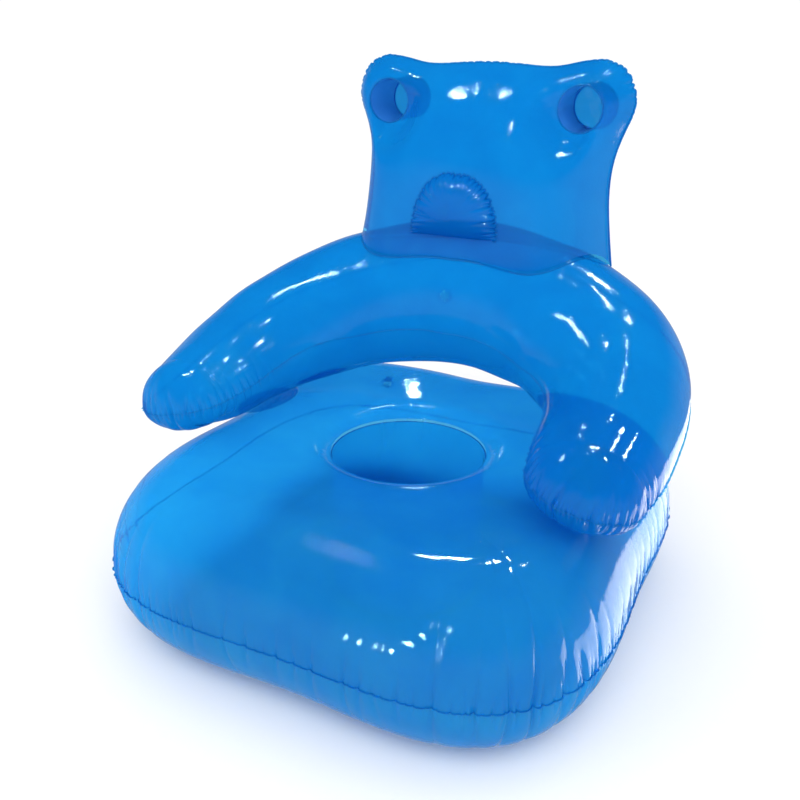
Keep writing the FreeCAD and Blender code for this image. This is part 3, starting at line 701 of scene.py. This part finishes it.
def neck_pad(front_film):
    """Half-round pad on the front film, with deep creases round its arc."""
    surface = BVHTree.FromObject(front_film, bpy.context.evaluated_depsgraph_get())

    def on_film(points):
        flat = points.reshape(-1, 3).copy()
        for p in flat:
            hit = surface.ray_cast(Vector((p[0], -1.0, p[2])), Vector((0.0, 1.0, 0.0)))[0]
            p[1] = hit.y if hit else PANEL_Y
        return flat.reshape(points.shape)

    def outline(turn, share):
        powers = np.abs(np.cos(turn)) ** PAD_SQUARENESS + np.abs(np.sin(turn)) ** PAD_SQUARENESS
        squared = 1.0 / powers ** (1.0 / PAD_SQUARENESS)
        return np.stack([PAD_HALF_WIDTH * share * squared * np.cos(turn), 0.0 * turn * share,
                         PAD_FOOT + (PAD_TOP - PAD_FOOT) * share * squared * np.sin(turn)], -1)

    turn = np.pi * np.linspace(0.0, 1.0, 361)
    share = np.sin(np.pi / 2.0 * np.linspace(1.0, 0.0, 60))
    turn_grid, share_grid = np.meshgrid(turn, share, indexing="ij")
    points = on_film(outline(turn_grid, share_grid))
    from_foot = np.clip((points[..., 2] - PAD_FOOT) / 0.060, 0.0, 1.0)
    rise = np.sqrt(np.clip((1.0 - share_grid ** 5) * (1.0 - (1.0 - from_foot) ** 2), 0.0, 1.0))
    points[..., 1] -= PAD_LIFT + PAD_THICKNESS * rise
    normals = grid_normals(points, np.array([0.0, PANEL_Y, (PAD_FOOT + PAD_TOP) / 2.0]))
    arc = on_film(outline(turn, np.ones(361)))
    arc[:, 1] -= PAD_LIFT
    tangent = np.gradient(arc, axis=0)
    weld = Weld(arc, np.stack([tangent[:, 2], 0.0 * turn, -tangent[:, 0]], -1), False)
    weld.add_creases(97, 0.0088, (0.0013, 0.0022), 0.0080, 0.030, everywhere)
    points = weld.pucker(points, normals)
    pad = piece_from("neck_pad_film", points, grid_faces(361, 60), FILM)
    lift = np.stack([0.0 * turn, 0.0 * turn + 1.0, 0.0 * turn], -1)
    return pad, weld.band("neck_pad_weld", WELD, lift, 0.0035, 0.0004)


def arm_patch(hand, name):
    """Oval of fused film, with a raised double ring and fine ribs, where an arm holds to the seat."""
    rings, count = 46, 220
    turn = 2.0 * np.pi * np.arange(count) / count
    share = np.linspace(1.0, 0.0, rings)
    turn_grid, share_grid = np.meshgrid(turn, share, indexing="ij")
    x = PATCH_HALF_WIDTH * share_grid * np.cos(turn_grid)
    y = PATCH_HALF_LENGTH * share_grid * np.sin(turn_grid)
    ridge = 0.0011 * sum(np.exp(-((share_grid - at) / 0.025) ** 2) for at in (0.92, 0.80))
    ridge = ridge + 0.0003 * np.sin(y * 2.0 * np.pi / 0.006) * (share_grid < 0.72)
    tilt = math.radians(PATCH_TILT) * hand
    layers = []
    for face in (1.0, -1.0):
        z = face * (0.0004 + ridge * (face > 0.0)) * np.where(share_grid > 0.999, 0.0, 1.0) + 0.0015
        layers.append(np.stack([hand * PATCH_X + x * math.cos(tilt) + z * math.sin(tilt), PATCH_Y + y,
                                PATCH_HEIGHT - x * math.sin(tilt) + z * math.cos(tilt)], -1))
    faces = grid_faces(count, rings, True)
    return piece_from(name, np.concatenate([l.reshape(-1, 3) for l in layers]),
                      np.concatenate([faces, faces + count * rings]), PATCH)


# ---- the films ----------------------------------------------------------------------------------
UP = np.array([0.0, 0.0, 1.0])


def on_float(obj, *nodes):
    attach(obj, "float")
    if nodes:
        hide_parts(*nodes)
    return obj


def on_headrest(obj, *nodes):
    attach(obj, "headrest")
    if nodes:
        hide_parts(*nodes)
    return obj


# The seat's two films wear the lighter copies of the film, painted light against the shade inside the
# cushion.
on_float(seat_film(1, "seat_top_film", SEAT_FILM_PAINTED_LIGHTER), "seat_top_skin")
on_float(seat_film(-1, "seat_bottom_film", BASE_FILM_PAINTED_LIGHTER), "seat_bottom_skin")
on_float(SEAT_WELD.band("seat_edge_weld", WELD, UP + 0.0 * SEAT_WELD.points))
on_float(well_wall(), "seat_well_wall")
on_float(well_floor(), "seat_well_floor")
for side, name in ((1, "well_upper_weld"), (-1, "well_lower_weld")):
    on_float(WELL_WELDS[side].band(name, WELD, UP + 0.0 * WELL_WELDS[side].points, 0.0028, 0.0003))
on_float(ring_film(1, "arm_ring_upper_film"), "arm_ring_upper_skin")
on_float(ring_film(-1, "arm_ring_lower_film"), "arm_ring_lower_skin")
on_float(RING_WELD.band("arm_ring_weld", LIGHT_WELD, RING_UP))
for hand, side in ((-1, "left"), (1, "right")):
    on_float(arm_patch(hand, side + "_arm_patch_film"), side + "_arm_weld_patch")

front_film = panel_film(True, "headrest_front_film")
pad, pad_weld = neck_pad(front_film)
on_headrest(pad, "neck_pad")
on_headrest(pad_weld)
rear_film = panel_film(False, "headrest_rear_film")
edge_band = PANEL_WELD.band("headrest_edge_weld", WELD, np.array([0.0, 1.0, 0.0]) + 0.0 * PANEL_WELD.points)
for obj in (front_film, rear_film, edge_band):
    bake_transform(obj)
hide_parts("headrest_front_skin")
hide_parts("headrest_rear_skin")
on_float(foot_weld(True, "headrest_front_foot_weld"))
on_float(foot_weld(False, "headrest_rear_foot_weld"))
for hand, side in ((-1, "left"), (1, "right")):
    on_headrest(cup_wall(hand, side + "_cup_wall_film"), side + "_cup_wall")
    on_headrest(cup_floor(hand, side + "_cup_floor_film"), side + "_cup_floor")
    for front, place in ((True, "front"), (False, "rear")):
        weld = CUP_WELDS[front, hand]
        lift = np.array([0.0, 1.0, 0.0]) + 0.0 * weld.points
        on_headrest(weld.band(side + "_cup_" + place + "_weld", WELD, lift, 0.0030, 0.0002))


# ---- valves -------------------------------------------------------------------------------------
def valve_material():
    material, tree, shader, place = node_material("soft_valve_vinyl")
    tone = noise_node(tree, place, 160.0, 3.0)
    colour = ramp_node(tree, tone.outputs["Fac"], (0.3, (0.42, 0.82, 0.97)), (0.7, (0.50, 0.86, 0.98)))
    tree.links.new(colour.outputs["Color"], shader.inputs["Base Color"])
    grain = noise_node(tree, place, 900.0, 2.0)
    bump = bump_nodes(tree, [(tone.outputs["Fac"], 0.0004, 0.3), (grain.outputs["Fac"], 0.0001, 0.3)])
    tree.links.new(bump.outputs["Normal"], shader.inputs["Normal"])
    smear = tree.nodes.new("ShaderNodeMapRange")
    smear.inputs["To Min"].default_value = 0.18
    smear.inputs["To Max"].default_value = 0.32
    tree.links.new(tone.outputs["Fac"], smear.inputs["Value"])
    tree.links.new(smear.outputs["Result"], shader.inputs["Roughness"])
    shader.inputs["IOR"].default_value = 1.12
    shader.inputs["Transmission Weight"].default_value = 0.90
    shader.inputs["Coat Weight"].default_value = 0.4
    shader.inputs["Coat Roughness"].default_value = 0.12
    return material


VALVE = valve_material()
for name, node in frame["nodes"].items():
    if "_valve_" in name:
        node.data.materials.clear()
        node.data.materials.append(VALVE)


def valve_place(name):
    """Foot of a valve's stem and its x and z directions, from the record's joints."""
    joints = {joint["name"]: joint for joint in frame["record"]["behaviour"]["joints"]}
    flap = joints[name + "_check_flap_swing"]
    z = Vector(joints[name + "_cap_pull"]["axis"]).normalized()
    x = Vector(flap["axis"]).normalized().cross(z) * -1.0
    return Vector(flap["pos_m"]) - x * FLAP_HINGE_OUT + z * FLAP_HINGE_IN, x, z


def cap_strap(name):
    """Soft ribbon from the stem's lip round to the cap's head."""
    foot, x, z = valve_place(name)
    y = z.cross(x)
    low, high = STRAP_HEIGHTS
    turns = np.linspace(-90.0, 90.0, 15)
    arc = [(-STRAP_OUT - (high - low) / 2.0 * math.cos(math.radians(t)),
            (low + high) / 2.0 + (high - low) / 2.0 * math.sin(math.radians(t))) for t in turns]
    path = [(-STRAP_IN, low)] + arc + [(-STRAP_IN, high)]
    points = []
    for k, (out, up) in enumerate(path):
        before, after = path[max(k - 1, 0)], path[min(k + 1, len(path) - 1)]
        run = Vector((after[0] - before[0], after[1] - before[1])).normalized()
        for across, rise in ((-1, -1), (1, -1), (1, 1), (-1, 1)):
            normal_x, normal_z = -run.y * rise * STRAP_HALF_THICKNESS, run.x * rise * STRAP_HALF_THICKNESS
            points.append(foot + x * (out + normal_x) + z * (up + normal_z) + y * across * STRAP_HALF_WIDTH)
    rows = len(path)
    faces = grid_faces(rows, 4, False, True).tolist()
    faces += [[0, 1, 2, 3], [4 * rows - 1, 4 * rows - 2, 4 * rows - 3, 4 * rows - 4]]
    obj = piece_from(name + "_cap_strap", points, faces, VALVE)
    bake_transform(obj)
    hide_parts(name + "_valve_cap_strap")


def cut_valve_hole(name, film):
    """Open the film under a valve's flange, where the stem and the plug pass."""
    foot = valve_place(name)[0]
    cut_away(film, lambda made: [f for f in made.faces
                                 if (f.calc_center_median() - foot).length < VALVE_HOLE], "FACES")


VALVE_FILMS = {"seat": "seat_top_film", "arm": "arm_ring_lower_film", "headrest": "headrest_rear_film"}
for name, film in VALVE_FILMS.items():
    cap_strap(name)
    cut_valve_hole(name, bpy.data.objects[film])


# ---- studio -------------------------------------------------------------------------------------
def floor_material():
    material, tree, shader, place = node_material("pale_floor")
    tone = noise_node(tree, place, 3.0, 2.0)
    colour = ramp_node(tree, tone.outputs["Fac"], (0.3, (0.975,) * 3), (0.7, (0.985,) * 3))
    tree.links.new(colour.outputs["Color"], shader.inputs["Base Color"])
    shader.inputs["Roughness"].default_value = 0.9
    shader.inputs["Specular IOR Level"].default_value = 0.0
    return material


FLOOR_REACH = 40.0
floor_mesh = bpy.data.meshes.new("floor")
floor_corners = [(x * FLOOR_REACH, y * FLOOR_REACH, 0.0) for x, y in ((-1, -1), (1, -1), (1, 1), (-1, 1))]
floor_mesh.from_pydata(floor_corners, [], [(0, 1, 2, 3)])
floor_mesh.materials.append(floor_material())
floor = bpy.data.objects.new("floor", floor_mesh)
bpy.context.scene.collection.objects.link(floor)
floor.visible_glossy = False


WHITE = (1.0, 1.0, 1.0)
CYAN = (0.45, 1.0, 1.0)
PALE_CYAN = (0.60, 1.0, 1.0)


def studio_world():
    """Even white light; gloss sees a soft horizon and a dim ceiling, so that films keep their colour."""
    world = bpy.data.worlds.new("studio")
    world.use_nodes = True
    tree = world.node_tree
    place = tree.nodes.new("ShaderNodeTexCoord")
    split = tree.nodes.new("ShaderNodeSeparateXYZ")
    tree.links.new(place.outputs["Generated"], split.inputs["Vector"])
    fade = ramp_node(tree, split.outputs["Z"], (0.0, (0.50,) * 3), (0.35, (0.02,) * 3))
    path = tree.nodes.new("ShaderNodeLightPath")
    mixed = tree.nodes.new("ShaderNodeMix")
    mixed.data_type = "RGBA"
    mixed.inputs["A"].default_value = (1.03, 1.03, 1.03, 1.0)
    tree.links.new(path.outputs["Is Glossy Ray"], mixed.inputs["Factor"])
    tree.links.new(fade.outputs["Color"], mixed.inputs["B"])
    tree.links.new(mixed.outputs["Result"], tree.nodes["Background"].inputs["Color"])
    return world


bpy.context.scene.world = studio_world()


def softbox(name, place, target, size, radiance, colour=WHITE, diffuse=True, glossy=True):
    """Area lamp of an even brightness; one size makes a disc and two make a rectangle."""
    lamp = bpy.data.lights.new(name, "AREA")
    lamp.shape = "DISK" if len(size) == 1 else "RECTANGLE"
    lamp.size = size[0]
    area = math.pi * size[0] ** 2 / 4.0
    if len(size) == 2:
        lamp.size_y = size[1]
        area = size[0] * size[1]
    lamp.energy = radiance * math.pi * area
    lamp.color = colour
    obj = bpy.data.objects.new(name, lamp)
    obj.location = place
    obj.rotation_euler = (Vector(target) - Vector(place)).to_track_quat("-Z", "Y").to_euler()
    obj.visible_camera = False
    obj.visible_transmission = False
    obj.visible_diffuse = diffuse
    obj.visible_glossy = glossy
    bpy.context.scene.collection.objects.link(obj)
    return obj


def glint(name, places, size, radiance, target, pieces, colour=PALE_CYAN):
    """Small lamps that only put highlights on the pieces named, and that shine through clear film."""
    lit = bpy.data.collections.new(name + "_pieces")
    for piece in pieces:
        lit.objects.link(bpy.data.objects[piece])
    for k, place in enumerate(places):
        lamp = softbox("%s_%d" % (name, k), place, target or (place[0], place[1], 0.0), size, radiance,
                       colour, diffuse=False)
        lamp.light_linking.receiver_collection = lit
        lamp.light_linking.blocker_collection = OPAQUE


OPAQUE = bpy.data.collections.new("opaque_things")
OPAQUE.objects.link(floor)
AIM = (0.1, -0.1, 0.35)
SEAT = ("seat_top_film",)
ARMS = ("arm_ring_upper_film", "arm_ring_lower_film")
PANEL = ("headrest_front_film",)
PAD = ("neck_pad_film", "neck_pad_weld")
glint("seat_glint", ((-0.85, 1.5, 2.83), (-0.51, 1.5, 2.47), (-0.02, 1.5, 2.89), (0.91, 1.5, 2.91)), (0.15,),
      600.0, AIM, SEAT)
glint("well_glint", ((-0.71, 1.2, 3.0), (-0.71, 1.5, 0.94)), (0.04,), 400.0, AIM, SEAT)
glint("side_glint", ((-1.3, 0.0, 3.0), (-1.3, -0.6, 3.0)), (0.035,), 400.0, AIM, SEAT)
glint("low_glint", [(-0.54 + 0.36 * k, -3.1 + 0.18 * k, 0.25 + 0.50 * k) for k in range(4)], (0.11,),
      260.0, AIM, SEAT, CYAN)
glint("right_arm_glint", ((0.15, 1.5, 2.26), (0.38, 1.5, 2.14), (1.24, 0.99, 3.0), (2.05, 1.07, 2.5)),
      (0.11,), 400.0, AIM, ARMS)
glint("back_arm_glint", ((-0.66, 1.0, 3.0), (0.13, 0.50, 3.0), (0.32, 1.28, 3.0)), (0.07,), 380.0, AIM, ARMS)
glint("left_arm_glint", ((-1.22, -0.05, 3.0),), (0.07, 1.0), 160.0, None, ARMS)
glint("panel_glint", ((-0.80, 0.33, 3.0), (0.0, -0.86, 3.0), (0.42, 0.64, 3.0)), (0.08,), 300.0,
      (0.1, 0.3, 0.9), PANEL)
glint("pad_glint", ((-1.2, -1.8, 2.5), (0.2, -2.2, 2.6), (1.5, -2.0, 1.9)), (0.30,), 160.0,
      (0.0, 0.3, 0.75), PAD)
softbox("front_softbox", (1.0, -2.2, 3.0), (0.0, 0.0, 0.2), (3.0, 2.0), 2.2, glossy=False)
softbox("floor_card", (1.10, 0.60, 0.012), (1.10, 0.60, 1.0), (1.1, 1.6), 5.0, diffuse=False)

# ---- camera -------------------------------------------------------------------------------------
AZIMUTH, ELEVATION, ROLL = math.radians(26.55), math.radians(22.79), math.radians(0.69)
back = Vector((math.sin(AZIMUTH) * math.cos(ELEVATION), -math.cos(AZIMUTH) * math.cos(ELEVATION),
               math.sin(ELEVATION)))
level = Vector((math.cos(AZIMUTH), math.sin(AZIMUTH), 0.0))
upright = back.cross(level)
right = level * math.cos(ROLL) + upright * math.sin(ROLL)
over = upright * math.cos(ROLL) - level * math.sin(ROLL)
eye = bpy.data.objects.new("camera", bpy.data.cameras.new("camera"))
eye.rotation_euler = Matrix((right, over, back)).transposed().to_euler()
eye.location = (0.662, -1.367, 1.031)
eye.data.sensor_width = 36.0
eye.data.lens = 39.24
eye.data.clip_start = 0.05
eye.data.clip_end = 200.0
bpy.context.scene.collection.objects.link(eye)
bpy.context.scene.camera = eye
bpy.context.scene.view_settings.view_transform = "Standard"
